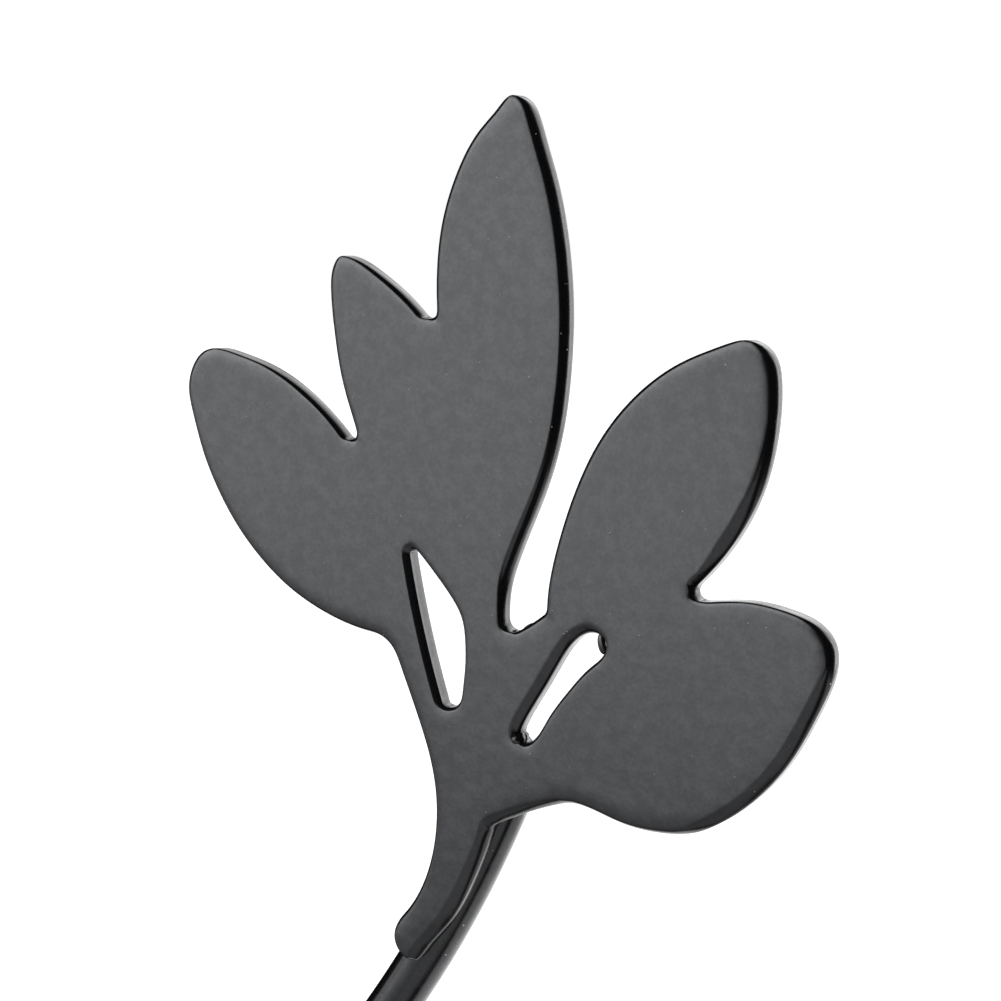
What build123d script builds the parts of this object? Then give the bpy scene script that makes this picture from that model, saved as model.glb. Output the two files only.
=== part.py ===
from build123d import *
import os
from math import asin, cos, degrees, radians, sin, tan

os.makedirs("parts", exist_ok=True)

# Plant hanging bracket, in millimetres.
# A round bar leaves a wall plate, dips to carry a pot and rises behind a spray of
# five leaves that is cut from sheet and welded to the front of the bar.
# The origin is the middle of the wall plate's back face: +X points away from the
# wall, +Z up, and the bar's axis lies in the plane Y = 0. The leaves face -Y.

# Wall plate
PLATE_WIDTH = 22.0
PLATE_THICKNESS = 4.0
PLATE_EDGE_RADIUS = 0.8
SCREW_PITCH = 108.0
SCREW_HOLE_DIAMETER = 5.5

# Bar
ROD_DIAMETER = 8.0
ARM_HEIGHT = 35.0
ARM_LENGTH = 125.0
DROP_RADIUS = 60.0
DROP_ANGLE = 32.0
CUP_RADIUS = 33.0
LIFT_START_ANGLE = 45.0
LIFT_RADIUS = 207.7
LIFT_TURN = 23.4
END_CUT_ANGLE = 33.0

# Leaf sheet
SHEET_THICKNESS = 3.0
SHEET_EDGE_RADIUS = 1.2
SLOT_EDGE_RADIUS = 0.95
LEAF_NOTCH_RADIUS = 1.0
RIGHT_NOTCH_RADIUS = 1.4
GAP_LEFT_RADIUS = 1.9
GAP_RIGHT_RADIUS = 1.2
STEM_LEFT_RADIUS = 5.0
STEM_RIGHT_RADIUS = 3.0
SLOT_TOP_RADIUS = 1.0
SLOT_BOTTOM_LEFT_RADIUS = 1.6
SLOT_BOTTOM_RIGHT_RADIUS = 2.3

# Welds. Each stitch runs between two heights above the stem's foot, and its middle
# line lies a little way out from the bar's side.
WALL_WELD_LEG = 4.0
STITCH_RADIUS = 2.3
STITCH_GAP = 0.3
STEM_STITCH = (17.5, 23.0)
WEB_LEFT_STITCH = (28.5, 33.0)
WEB_RIGHT_STITCH = (31.0, 33.0)

# The outline of the leaves, as seen from the front, is measured from the foot of
# the stem: first number to the right, second number up.
ROD_END_IN_SPRAY = (20.35, 34.7)

LEFT_LEAF = [
    (-0.6, 51.9), (-7.2, 52.9), (-14.1, 55.3), (-20.3, 58.7), (-25.7, 63.1),
    (-30.3, 68.2), (-34.0, 73.8), (-36.9, 79.8), (-38.9, 86.1), (-39.7, 90.0),
    (-39.1, 93.3), (-36.8, 96.2), (-33.8, 96.9), (-30.1, 96.2), (-24.3, 94.4),
    (-17.8, 91.0), (-12.3, 86.7), (-8.6, 83.0),
]
UPPER_LEFT_LEAF = [
    (-6.3, 82.9), (-7.0, 85.2), (-9.1, 91.4), (-10.8, 100.1), (-11.4, 106.6),
    (-11.1, 109.8), (-9.8, 111.8), (-7.4, 111.7), (-2.9, 109.4), (1.0, 106.7),
    (5.7, 102.4),
]
CENTRE_LEAF = [
    (8.3, 102.3), (8.2, 108.0), (9.1, 116.5), (11.8, 124.5), (15.9, 131.0),
    (19.0, 134.1), (21.6, 136.1), (23.8, 135.2), (25.7, 131.5), (28.3, 123.5),
    (30.4, 113.2), (31.1, 102.8), (30.7, 94.4), (29.5, 86.0), (27.1, 77.7),
    (23.7, 69.8), (21.9, 65.6), (20.4, 61.0), (20.0, 57.0), (20.2, 53.0),
]
UPPER_RIGHT_LEAF = [
    (27.7, 57.8), (27.9, 60.8), (29.7, 68.8), (32.6, 76.9), (36.6, 84.5),
    (42.2, 91.1), (49.5, 96.3), (57.0, 99.3), (61.0, 100.0), (64.1, 98.0),
    (65.2, 93.8), (64.7, 85.8), (62.6, 77.9), (58.5, 70.4), (49.7, 61.3),
]
LOWER_RIGHT_LEAF = [
    (49.7, 61.3), (56.9, 61.8), (61.3, 62.0), (67.7, 61.0), (71.6, 59.5),
    (74.1, 56.8), (74.5, 53.6), (72.1, 46.7), (67.9, 39.1), (62.0, 32.4),
    (56.4, 28.4), (51.3, 26.3), (46.5, 25.9), (41.0, 26.6), (35.6, 28.2),
    (32.1, 28.7), (28.5, 28.0), (23.3, 26.1), (17.9, 23.7),
]
STEM = [
    (17.9, 23.7), (15.8, 18.1), (13.5, 13.0), (9.9, 6.9), (5.6, 1.9), (3.2, -0.2),
    (1.3, 0.7), (-0.1, 3.3), (0.6, 5.8), (2.3, 7.9), (3.8, 9.9), (6.0, 14.2),
    (7.7, 21.0), (7.8, 27.7), (6.5, 34.1), (4.3, 40.2), (1.8, 46.3), (-0.6, 51.9),
]
LEFT_SLOT_TOP = (1.9, 69.1)
LEFT_SLOT_RIGHT_EDGE = [
    LEFT_SLOT_TOP, (6.0, 64.7), (10.8, 59.3), (12.8, 56.0), (13.4, 52.4), (13.4, 48.5),
    (12.9, 44.3), (12.6, 41.6),
]
LEFT_SLOT_BOTTOM_LEFT = (8.9, 41.6)
RIGHT_SLOT = [
    (27.9, 41.2), (31.5, 46.0), (35.7, 50.4), (37.9, 52.7), (38.0, 54.5), (35.5, 55.5),
    (32.1, 53.7), (28.7, 48.8), (25.6, 43.9), (23.3, 40.1), (22.9, 38.4), (24.0, 37.3),
    (25.6, 38.0),
]

# The lump of weld at the bar's end: centres in the spray's measure with the depth
# from the sheet's back face, and radii.
END_LUMPS = [
    ((22.6, 37.9, -2.1), 1.2),
    ((23.0, 37.9, -1.1), 0.8),
    ((22.8, 38.0, -0.2), 0.7),
    ((21.8, 37.5, 0.5), 0.9),
    ((20.2, 36.9, 0.9), 1.6),
]

ROD_RADIUS = ROD_DIAMETER / 2
SHEET_BACK_Y = -ROD_RADIUS


def arm_path(extra_turn=0.0):
    """Axis of the bar in the X-Z plane, from the wall plate to its end."""
    straight = Line((PLATE_THICKNESS, ARM_HEIGHT), (PLATE_THICKNESS + ARM_LENGTH, ARM_HEIGHT))
    drop = JernArc(straight @ 1, straight % 1, DROP_RADIUS, -DROP_ANGLE)
    cup = JernArc(drop @ 1, drop % 1, CUP_RADIUS, DROP_ANGLE + LIFT_START_ANGLE)
    lift = JernArc(cup @ 1, cup % 1, LIFT_RADIUS, LIFT_TURN + extra_turn)
    return straight, drop, cup, lift


STRAIGHT, DROP, CUP, LIFT = arm_path()
ROD_END = LIFT @ 1
ROD_END_SLOPE = LIFT_START_ANGLE + LIFT_TURN
LIFT_CENTRE = Vector(
    ROD_END.X - LIFT_RADIUS * sin(radians(ROD_END_SLOPE)),
    ROD_END.Y + LIFT_RADIUS * cos(radians(ROD_END_SLOPE)),
)
SPRAY_X = ROD_END.X - ROD_END_IN_SPRAY[0]
SPRAY_Z = ROD_END.Y - ROD_END_IN_SPRAY[1]


def make_wall_plate():
    """Flat bar with round ends and two screw holes, standing against the wall."""
    face = Plane.YZ * (
        SlotCenterToCenter(SCREW_PITCH, PLATE_WIDTH, rotation=90)
        - Pos(0, SCREW_PITCH / 2) * Circle(SCREW_HOLE_DIAMETER / 2)
        - Pos(0, -SCREW_PITCH / 2) * Circle(SCREW_HOLE_DIAMETER / 2)
    )
    plate = extrude(face, PLATE_THICKNESS)
    front = plate.faces().sort_by(Axis.X)[-1]
    return fillet(front.outer_wire().edges(), PLATE_EDGE_RADIUS)


def end_cut_plane():
    """Slanting plane that ends the bar: it drops away to the right."""
    normal_angle = radians(ROD_END_SLOPE - END_CUT_ANGLE)
    return Plane(
        origin=(ROD_END.X, 0, ROD_END.Y),
        z_dir=(cos(normal_angle), 0, sin(normal_angle)),
    )


def make_arm_rod():
    """Round bar bent along the arm's path, with its end cut on the slant."""
    slant_length = ROD_RADIUS * tan(radians(END_CUT_ANGLE))
    spare_turn = degrees(2 * slant_length / LIFT_RADIUS)
    flat_path = Curve() + list(arm_path(spare_turn))
    path = Plane.XZ * flat_path
    start = Plane(origin=path @ 0, z_dir=path % 0)
    rod = sweep(start * Circle(ROD_RADIUS), path=path)
    return split(rod, bisect_by=end_cut_plane(), keep=Keep.BOTTOM)


def spray_point(point, depth=0.0):
    """Place in the bracket of a point of the leaves' outline."""
    return Vector(SPRAY_X + point[0], SHEET_BACK_Y + depth, SPRAY_Z + point[1])


def corner_at(face, point):
    """The corner of a flat outline that lies nearest to a point."""
    place = Vector(point[0], point[1])
    return face.vertices().sort_by_distance(place)[0]


def round_corner(face, point, radius):
    """Round one corner of a flat outline."""
    return fillet(corner_at(face, point), radius)


def spray_outline():
    """Outline of the five leaves and the stem, with its notches rounded."""
    edges = [
        Spline(*LEFT_LEAF),
        Line(LEFT_LEAF[-1], UPPER_LEFT_LEAF[0]),
        Spline(*UPPER_LEFT_LEAF),
        Line(UPPER_LEFT_LEAF[-1], CENTRE_LEAF[0]),
        Spline(*CENTRE_LEAF),
        Line(CENTRE_LEAF[-1], UPPER_RIGHT_LEAF[0]),
        Spline(*UPPER_RIGHT_LEAF),
        Spline(*LOWER_RIGHT_LEAF),
        Spline(*STEM),
    ]
    face = make_face(Curve() + edges)
    corners = [
        (LEFT_LEAF[-1], LEAF_NOTCH_RADIUS),
        (UPPER_LEFT_LEAF[0], LEAF_NOTCH_RADIUS),
        (UPPER_LEFT_LEAF[-1], LEAF_NOTCH_RADIUS),
        (CENTRE_LEAF[0], LEAF_NOTCH_RADIUS),
        (CENTRE_LEAF[-1], GAP_LEFT_RADIUS),
        (UPPER_RIGHT_LEAF[0], GAP_RIGHT_RADIUS),
        (UPPER_RIGHT_LEAF[-1], RIGHT_NOTCH_RADIUS),
        (LOWER_RIGHT_LEAF[-1], STEM_RIGHT_RADIUS),
        (STEM[-1], STEM_LEFT_RADIUS),
    ]
    for point, radius in corners:
        face = round_corner(face, point, radius)
    return face


def left_slot():
    """Closed slot between the left leaf and the centre leaf."""
    edges = [
        Spline(*LEFT_SLOT_RIGHT_EDGE),
        Line(LEFT_SLOT_RIGHT_EDGE[-1], LEFT_SLOT_BOTTOM_LEFT),
        Line(LEFT_SLOT_BOTTOM_LEFT, LEFT_SLOT_TOP),
    ]
    face = round_corner(make_face(Curve() + edges), LEFT_SLOT_TOP, SLOT_TOP_RADIUS)
    face = round_corner(face, LEFT_SLOT_BOTTOM_LEFT, SLOT_BOTTOM_LEFT_RADIUS)
    return round_corner(face, LEFT_SLOT_RIGHT_EDGE[-1], SLOT_BOTTOM_RIGHT_RADIUS)


def right_slot():
    """Closed slot between the stem and the lower right leaf."""
    return make_face(Spline(*RIGHT_SLOT, periodic=True))


def make_leaf_spray():
    """Five leaves and their stem, cut from one sheet, with softened front edges."""
    flat = spray_outline() - left_slot() - right_slot()
    back = Plane(origin=spray_point((0, 0)), x_dir=(1, 0, 0), z_dir=(0, -1, 0))
    sheet = extrude(back * flat, SHEET_THICKNESS)
    front = sheet.faces().sort_by(Axis.Y)[0]
    sheet = fillet(front.outer_wire().edges(), SHEET_EDGE_RADIUS)
    front = sheet.faces().sort_by(Axis.Y)[0]
    slots = [edge for wire in front.inner_wires() for edge in wire.edges()]
    return fillet(slots, SLOT_EDGE_RADIUS)


def make_wall_weld():
    """Ring of weld between the bar and the wall plate."""
    profile = Plane.XZ * make_face(
        Polyline(
            (PLATE_THICKNESS, ARM_HEIGHT + ROD_RADIUS),
            (PLATE_THICKNESS, ARM_HEIGHT + ROD_RADIUS + WALL_WELD_LEG),
            (PLATE_THICKNESS + WALL_WELD_LEG, ARM_HEIGHT + ROD_RADIUS),
            close=True,
        )
    )
    axis = Axis((0, 0, ARM_HEIGHT), (1, 0, 0))
    return revolve(profile, axis)


def arc_direction(height):
    """Direction from the lift's centre to the bar, at a height above the stem's foot."""
    drop = (LIFT_CENTRE.Y - SPRAY_Z - height) / LIFT_RADIUS
    return degrees(asin(-drop))


def make_stitch(span, side, rod):
    """One run of weld along the bar's side, against the back of the sheet."""
    centre = Vector(LIFT_CENTRE.X, SHEET_BACK_Y, LIFT_CENTRE.Y)
    reach = LIFT_RADIUS + side * (ROD_RADIUS + STITCH_GAP)
    start_angle, end_angle = (arc_direction(height) for height in span)
    angles = (radians(start_angle), radians(end_angle))
    ends = [centre + Vector(cos(angle), 0, sin(angle)) * reach for angle in angles]
    along = (-sin(angles[0]), 0, cos(angles[0]))
    section = Plane(origin=ends[0], z_dir=along) * Circle(STITCH_RADIUS)
    bead = revolve(section, Axis(centre, (0, -1, 0)), end_angle - start_angle)
    for end in ends:
        bead += Pos(end) * Sphere(STITCH_RADIUS)
    size = 2 * (ends[1] - ends[0]).length + 4 * STITCH_RADIUS
    behind = Pos(ends[0]) * Box(size, size, size, align=(Align.CENTER, Align.MIN, Align.CENTER))
    return (bead & behind) - rod


def make_end_weld(rod, sheet):
    """Lump of weld that joins the slanting end of the bar to the slot's lower end."""
    lump = Part()
    for place, radius in END_LUMPS:
        lump += Pos(spray_point(place[:2], place[2])) * Sphere(radius)
    return lump - rod - sheet


arm_rod = make_arm_rod()
leaf_spray = make_leaf_spray()
pieces = {
    "wall_plate": make_wall_plate(),
    "arm_rod": arm_rod,
    "leaf_spray": leaf_spray,
    "weld_wall": make_wall_weld(),
    "weld_stem": make_stitch(STEM_STITCH, -1, arm_rod),
    "weld_web_left": make_stitch(WEB_LEFT_STITCH, -1, arm_rod),
    "weld_web_right": make_stitch(WEB_RIGHT_STITCH, 1, arm_rod),
    "weld_rod_end": make_end_weld(arm_rod, leaf_spray),
}

for name, piece in pieces.items():
    export_step(piece, f"parts/{name}.step")
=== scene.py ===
import math

import bmesh
import bpy
import numpy as np
from bpy.props import FloatProperty, FloatVectorProperty, IntProperty, PointerProperty
from bpy.types import Operator, Panel, PropertyGroup
from mathutils import Matrix, Vector, noise
from mathutils.geometry import delaunay_2d_cdt
from mathutils.kdtree import KDTree


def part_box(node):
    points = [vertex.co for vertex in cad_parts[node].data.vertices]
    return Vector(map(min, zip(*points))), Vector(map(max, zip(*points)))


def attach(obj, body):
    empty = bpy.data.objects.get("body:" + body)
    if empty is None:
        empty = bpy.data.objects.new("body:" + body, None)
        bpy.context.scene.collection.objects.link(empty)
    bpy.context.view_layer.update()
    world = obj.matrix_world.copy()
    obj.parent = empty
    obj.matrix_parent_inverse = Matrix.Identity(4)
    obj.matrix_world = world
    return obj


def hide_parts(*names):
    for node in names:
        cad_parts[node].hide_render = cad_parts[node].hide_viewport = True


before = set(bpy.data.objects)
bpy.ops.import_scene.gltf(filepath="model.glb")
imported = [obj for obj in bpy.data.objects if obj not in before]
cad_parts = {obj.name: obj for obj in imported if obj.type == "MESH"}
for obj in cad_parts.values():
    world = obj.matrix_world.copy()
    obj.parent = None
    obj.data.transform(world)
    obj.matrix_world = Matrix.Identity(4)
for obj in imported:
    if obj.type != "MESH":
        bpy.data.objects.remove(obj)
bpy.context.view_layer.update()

bl_info = {
    "name": "Leaf Plant Bracket",
    "version": (1, 0, 0),
    "blender": (4, 5, 0),
    "location": "View3D > Sidebar > Bracket",
    "description": "Finish of a wall bracket for a hanging pot, with a spray of leaves on its bar",
    "category": "Add Mesh",
}

MM = 0.001
SHEET_LOW, SHEET_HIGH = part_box("leaf_spray")
PLATE_LOW, PLATE_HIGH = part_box("wall_plate")
BAR_LOW, BAR_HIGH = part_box("arm_rod")
BALL_SEGMENTS, BALL_RINGS = 28, 16  # faces of each drop of coat or ripple of weld


# Sizes and colours

def length(name, description, default):
    """A size in metres that the user may change."""
    return FloatProperty(
        name=name, description=description, default=default, min=0.0, unit="LENGTH", precision=5,
    )


def turn(name, description, degrees):
    """An angle that the user may change."""
    return FloatProperty(
        name=name, description=description, default=math.radians(degrees), subtype="ANGLE",
    )


def brightness(name, description, default):
    """A strength of light that the user may change."""
    return FloatProperty(name=name, description=description, default=default, min=0.0)


def fraction(name, description, default):
    """A number from 0 to 1 that the user may change."""
    return FloatProperty(
        name=name, description=description, default=default, min=0.0, max=1.0, subtype="FACTOR",
    )


def tint(name, description, default):
    """A colour that the user may change."""
    return FloatVectorProperty(
        name=name, description=description, default=default, min=0.0, max=1.0, subtype="COLOR",
    )


class BRACKET_PG_coat(PropertyGroup):
    """Black powder coat that covers every piece."""
    colour: tint("Colour", "Colour of the powder coat", (0.004, 0.004, 0.0045))
    gloss_tint: tint("Gloss tint", "Cool tint of the light that it mirrors", (0.94, 0.96, 1.0))
    roughness: fraction("Roughness", "Roughness of the cured coat", 0.2)
    peel_size: length("Peel size", "Distance between the ripples of the coat", 2.2 * MM)
    peel_height: length("Peel height", "Height of the ripples of the coat", 0.02 * MM)
    mottle: fraction("Mottle", "Strength of the patchy gloss", 0.25)
    dust_colour: tint("Dust", "Colour of the specks of dust on the coat", (0.7, 0.7, 0.7))
    dust_spacing: length("Dust spacing", "Distance between the specks of dust", 1.8 * MM)
    dust_size: fraction("Dust size", "Size of a speck, as a share of the spacing", 0.065)


class BRACKET_PG_bar(PropertyGroup):
    """Round bar, bent in one plane from the wall to the leaves."""
    diameter: length("Diameter", "Thickness of the coated bar", BAR_HIGH.y - BAR_LOW.y + 0.16 * MM)
    height: length("Height", "Height of the arm above the middle of the plate", 35 * MM)
    arm_length: length("Arm length", "Straight run from the wall plate", 125 * MM)
    drop_radius: length("Drop radius", "Bend down from the straight run", 60 * MM)
    drop_angle: turn("Drop angle", "Turn of the bend down", 32.0)
    cup_radius: length("Cup radius", "Bend of the dip that carries the pot", 33 * MM)
    lift_angle: turn("Lift angle", "Slope at which the bar leaves the dip", 45.0)
    lift_radius: length("Lift radius", "Wide bend up to the leaves", 207.7 * MM)
    lift_turn: turn("Lift turn", "Turn of the wide bend", 23.4)
    cut_angle: turn("Cut angle", "Slant of the bar's cut end", 33.0)
    cut_edge: length("Cut edge", "Rounding of the cut end's rim", 0.3 * MM)
    sides: IntProperty(name="Sides", description="Faces round the bar", default=72, min=8)


class BRACKET_PG_sheet(PropertyGroup):
    """Leaves cut from one sheet, with rolled and rounded front edges."""
    film: length("Film", "Thickness that the powder coat adds", 0.06 * MM)
    edge_width: length("Edge width", "Width of right-hand and lower rounded edges", 1.05 * MM)
    edge_depth: length("Edge depth", "Depth of right-hand and lower rounded edges", 1.95 * MM)
    bevel_width: length("Bevel width", "Width of the bevel on lower right edges", 1.8 * MM)
    bevel_depth: length("Bevel depth", "Depth of the bevel on lower right edges", 1.5 * MM)
    gap_reach: length("Gap reach", "Width of gap in which edges are rounded less", 4.5 * MM)
    top_width: length("Top width", "Width of upper rounded edges", 0.2 * MM)
    top_depth: length("Top depth", "Depth of upper rounded edges", 0.5 * MM)
    left_radius: length("Left radius", "Rounding of left-hand front edges", 1.25 * MM)
    slot_radius: length("Slot radius", "Rounding of the slots' right-hand edges", 0.85 * MM)
    left_slot_coat: length("Left slot coat", "Coat on the left slot's worn side", 0.33 * MM)
    right_slot_coat: length("Right slot coat", "Coat on the right slot's worn side", 0.05 * MM)
    left_slot_width: length("Left slot width", "Width of the left slot's worn edge", 1.2 * MM)
    left_slot_depth: length("Left slot depth", "Depth of the left slot's worn edge", 0.6 * MM)
    right_slot_width: length("Right slot width", "Width of the right slot's worn edge", 1.75 * MM)
    right_slot_depth: length("Right slot depth", "Depth of the right slot's worn edge", 1.25 * MM)
    back_radius: length("Back radius", "Rounding of the back edges", 0.1 * MM)
    roll_angle: turn("Roll angle", "Tilt of the face beside its upper edges", 13.0)
    roll_width: length("Roll width", "Width of the tilted border", 2.6 * MM)
    corner_roll: length("Corner roll", "Extra width of the border at the lower right", 1.4 * MM)
    side_start: length("Side start", "From the left tip to where right-hand edges roll", 74 * MM)
    round_steps: IntProperty(
        name="Round steps", description="Faces across a rounding", default=9, min=2,
    )


class BRACKET_PG_weld(PropertyGroup):
    """Beads and lumps of weld under the coat."""
    scale_pitch: length("Pitch", "Distance between the ripples of a bead", 1.1 * MM)
    bead_radius: length("Bead radius", "Radius of the stitches behind the leaves", 2.1 * MM)
    ring_radius: length("Ring radius", "Radius of the bead at the wall", 2.6 * MM)
    lump_noise: length("Lump height", "Height of the lumps at the bar's end", 0.1 * MM)


class BRACKET_PG_stage(PropertyGroup):
    """Camera, floor and studio light."""
    target: FloatVectorProperty(
        name="Target", description="Point that the camera looks at", subtype="XYZ",
        unit="LENGTH", default=(243.5 * MM, 0.0, 140.2 * MM),
    )
    azimuth: turn("Azimuth", "Camera's turn round the bracket", 30.0)
    elevation: turn("Elevation", "Camera's height above level", 6.0)
    distance: length("Distance", "From the camera to the target", 380 * MM)
    lens: FloatProperty(
        name="Lens", description="Focal length on a 36 mm sensor", default=87.39, unit="CAMERA",
    )
    key: brightness("Key", "Brightness of the large soft panel", 1.8)
    crown: brightness("Crown", "Brightness added at the panel's top", 3.6)
    glow: brightness("Glow", "Brightness of the pale surface below it", 1.25)
    low: brightness("Low", "Brightness of the dim surface at the lower right", 0.85)
    feet: brightness("Feet", "Brightness of the dim surface below", 0.6)
    back: brightness("Back", "Brightness of the white sweep behind", 1.9)
    ground: brightness("Ground", "Brightness of the table under the bar", 1.38)
    far: brightness("Far", "Brightness of the sweep's far left side", 0.95)
    rim: brightness("Rim", "Brightness added at the sweep's right edge", 1.8)
    fill: brightness("Fill", "Even light on dull surfaces", 0.7)


def settings(name):
    """One of the property groups of this add-on."""
    return getattr(bpy.context.scene, "bracket_" + name)


# Node helpers

def feed(tree, socket, source):
    """Link a socket to another node's output, or set it to a plain value."""
    if isinstance(source, bpy.types.NodeSocket):
        tree.links.new(source, socket)
    else:
        socket.default_value = source


def feed_all(tree, node, sources):
    """Feed several inputs of a node, by name or number."""
    for name, source in sources.items():
        feed(tree, node.inputs[name], source)


def add_node(tree, kind, sources=None, **values):
    """A node with its settings made and its inputs fed; others keep their defaults."""
    node = tree.nodes.new(kind)
    for name, value in values.items():
        setattr(node, name, value)
    feed_all(tree, node, sources or {})
    return node


def maths(tree, operation, *sources):
    """A Math node's result."""
    return add_node(
        tree, "ShaderNodeMath", dict(enumerate(sources)), operation=operation,
    ).outputs[0]


def dot(tree, one, other):
    """How far one direction runs along another."""
    return add_node(
        tree, "ShaderNodeVectorMath", {0: one, 1: other}, operation="DOT_PRODUCT",
    ).outputs["Value"]


def map_range(tree, value, source, target=(0.0, 1.0), kind="LINEAR"):
    """A value taken from one range of numbers to another, and held within it."""
    return add_node(tree, "ShaderNodeMapRange", {
        "Value": value, "From Min": source[0], "From Max": source[1],
        "To Min": target[0], "To Max": target[1],
    }, interpolation_type=kind).outputs["Result"]


def smooth_step(tree, value, low, high):
    """A value's smooth rise from 0 at one limit to 1 at the other."""
    return map_range(tree, value, (low, high), kind="SMOOTHSTEP")


def new_group(name, kind, inputs, outputs):
    """An empty node group with named sockets, and its two end nodes."""
    tree = bpy.data.node_groups.new(name, kind)
    for label, data, default in inputs:
        socket = tree.interface.new_socket(
            name=label, in_out="INPUT", socket_type="NodeSocket" + data,
        )
        if default is not None:
            socket.default_value = default
    for label, data in outputs:
        tree.interface.new_socket(name=label, in_out="OUTPUT", socket_type="NodeSocket" + data)
    return tree, tree.nodes.new("NodeGroupInput"), tree.nodes.new("NodeGroupOutput")


def place_group(tree, group, **values):
    """A group node with its inputs fed."""
    sources = {name.replace("_", " "): value for name, value in values.items()}
    return add_node(tree, "ShaderNodeGroup", sources, node_tree=group)


# Finish of the coat

CLOUD_RANGE = (0.3, 0.7)  # noise values between which the roughness changes
ROUGH_SPREAD = 0.015  # change of the roughness to either side
MOTTLE_RANGE = (0.4, 0.66)  # noise values between which the gloss changes
FINE_SCALE = 4.5  # how much smaller the fine ripples are than the coarse ones
FINE_HEIGHT = 0.3  # height of the fine ripples, as a share of the coarse ones
FINE_MOTTLE = 0.55  # share of the fine ripples in the patchy gloss


def orange_peel_group():
    """Soft ripples of a cured powder coat, in two sizes: height, cloud and mottle."""
    tree, start, end = new_group(
        "Orange Peel", "ShaderNodeTree",
        [("Vector", "Vector", None), ("Size", "Float", 0.002), ("Height", "Float", 0.000004)],
        [(label, "Float") for label in ("Height", "Cloud", "Mottle")],
    )
    frequency = maths(tree, "DIVIDE", 1.0, start.outputs["Size"])
    coarse = add_node(tree, "ShaderNodeTexNoise", {
        "Vector": start.outputs["Vector"], "Scale": frequency, "Detail": 1.0, "Roughness": 0.4,
    })
    fine = add_node(tree, "ShaderNodeTexNoise", {
        "Vector": start.outputs["Vector"], "Scale": maths(tree, "MULTIPLY", frequency, FINE_SCALE),
        "Detail": 2.0,
    })
    both = maths(tree, "MULTIPLY_ADD", fine.outputs["Fac"], FINE_HEIGHT, coarse.outputs["Fac"])
    rest = maths(tree, "MULTIPLY", coarse.outputs["Fac"], 1 - FINE_MOTTLE)
    feed_all(tree, end, {
        "Height": maths(tree, "MULTIPLY", both, start.outputs["Height"]),
        "Cloud": coarse.outputs["Fac"],
        "Mottle": maths(tree, "MULTIPLY_ADD", fine.outputs["Fac"], FINE_MOTTLE, rest),
    })
    return tree


def dust_group():
    """Sparse specks, as a mask from 0 to 1."""
    tree, start, end = new_group(
        "Dust Specks", "ShaderNodeTree",
        [("Vector", "Vector", None), ("Spacing", "Float", 0.003), ("Size", "Float", 0.03),
         ("Share", "Float", 0.1)],
        [("Mask", "Float")],
    )
    cells = add_node(tree, "ShaderNodeTexVoronoi", {
        "Vector": start.outputs["Vector"],
        "Scale": maths(tree, "DIVIDE", 1.0, start.outputs["Spacing"]),
    })
    split = add_node(tree, "ShaderNodeSeparateColor", {0: cells.outputs["Color"]})
    chosen = maths(tree, "LESS_THAN", split.outputs[0], start.outputs["Share"])
    large = maths(tree, "ADD", split.outputs[1], 0.5)
    reach = maths(tree, "MULTIPLY", start.outputs["Size"], large)
    spot = smooth_step(tree, cells.outputs["Distance"], reach, maths(tree, "MULTIPLY", reach, 0.4))
    feed(tree, end.inputs["Mask"], maths(tree, "MULTIPLY", spot, chosen))
    return tree


def coat_material(name, peel_share=1.0, dust_share=0.8):
    """Glossy black powder coat for one piece, in the piece's own coordinates."""
    coat = settings("coat")
    material = bpy.data.materials.new(name)
    material.use_nodes = True
    tree = material.node_tree
    shader = tree.nodes["Principled BSDF"]
    place = add_node(tree, "ShaderNodeTexCoord").outputs["Object"]
    peel = place_group(
        tree, bpy.data.node_groups["Orange Peel"], Vector=place, Size=coat.peel_size,
        Height=coat.peel_height * peel_share,
    )
    dust = place_group(
        tree, bpy.data.node_groups["Dust Specks"], Vector=place, Spacing=coat.dust_spacing,
        Size=coat.dust_size, Share=dust_share,
    )
    mixed = add_node(tree, "ShaderNodeMix", {
        "Factor": dust.outputs["Mask"], "A": (*coat.colour, 1.0), "B": (*coat.dust_colour, 1.0),
    }, data_type="RGBA")
    bump = add_node(tree, "ShaderNodeBump", {
        "Strength": 1.0, "Distance": 1.0, "Height": peel.outputs["Height"],
    })
    spread = (coat.roughness - ROUGH_SPREAD, coat.roughness + ROUGH_SPREAD)
    feed_all(tree, shader, {
        "Base Color": mixed.outputs["Result"],
        "Roughness": map_range(tree, peel.outputs["Cloud"], CLOUD_RANGE, spread),
        "Coat Weight": map_range(tree, peel.outputs["Mottle"], MOTTLE_RANGE, (0.0, coat.mottle)),
        "Coat Roughness": coat.roughness,
        "IOR": 1.5,
        "Specular Tint": (*coat.gloss_tint, 1.0),
        "Normal": bump.outputs["Normal"],
    })
    return material


# Mesh helpers

def add_object(name, data):
    """An object in the scene that shows the given data."""
    item = bpy.data.objects.new(name, data)
    bpy.context.scene.collection.objects.link(item)
    return item


def finish_piece(mesh, name, material, *nodes):
    """Make a mesh a piece of the bracket that stands for its CAD nodes."""
    mesh.name = name
    if material.name not in mesh.materials:
        mesh.materials.append(material)
    piece = add_object(name, mesh)
    for polygon in mesh.polygons:
        polygon.use_smooth = True
    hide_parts(*nodes)
    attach(piece, "root")


def merged_copy(node):
    """A copy of a CAD node's mesh with its loose triangles joined."""
    copy = bmesh.new()
    copy.from_mesh(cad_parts[node].data)
    bmesh.ops.remove_doubles(copy, verts=copy.verts, dist=0.001 * MM)
    copy.normal_update()
    return copy


def mesh_from(shape, name):
    """A plain mesh from a bmesh, which is freed."""
    mesh = bpy.data.meshes.new(name)
    shape.to_mesh(mesh)
    shape.free()
    return mesh


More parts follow.
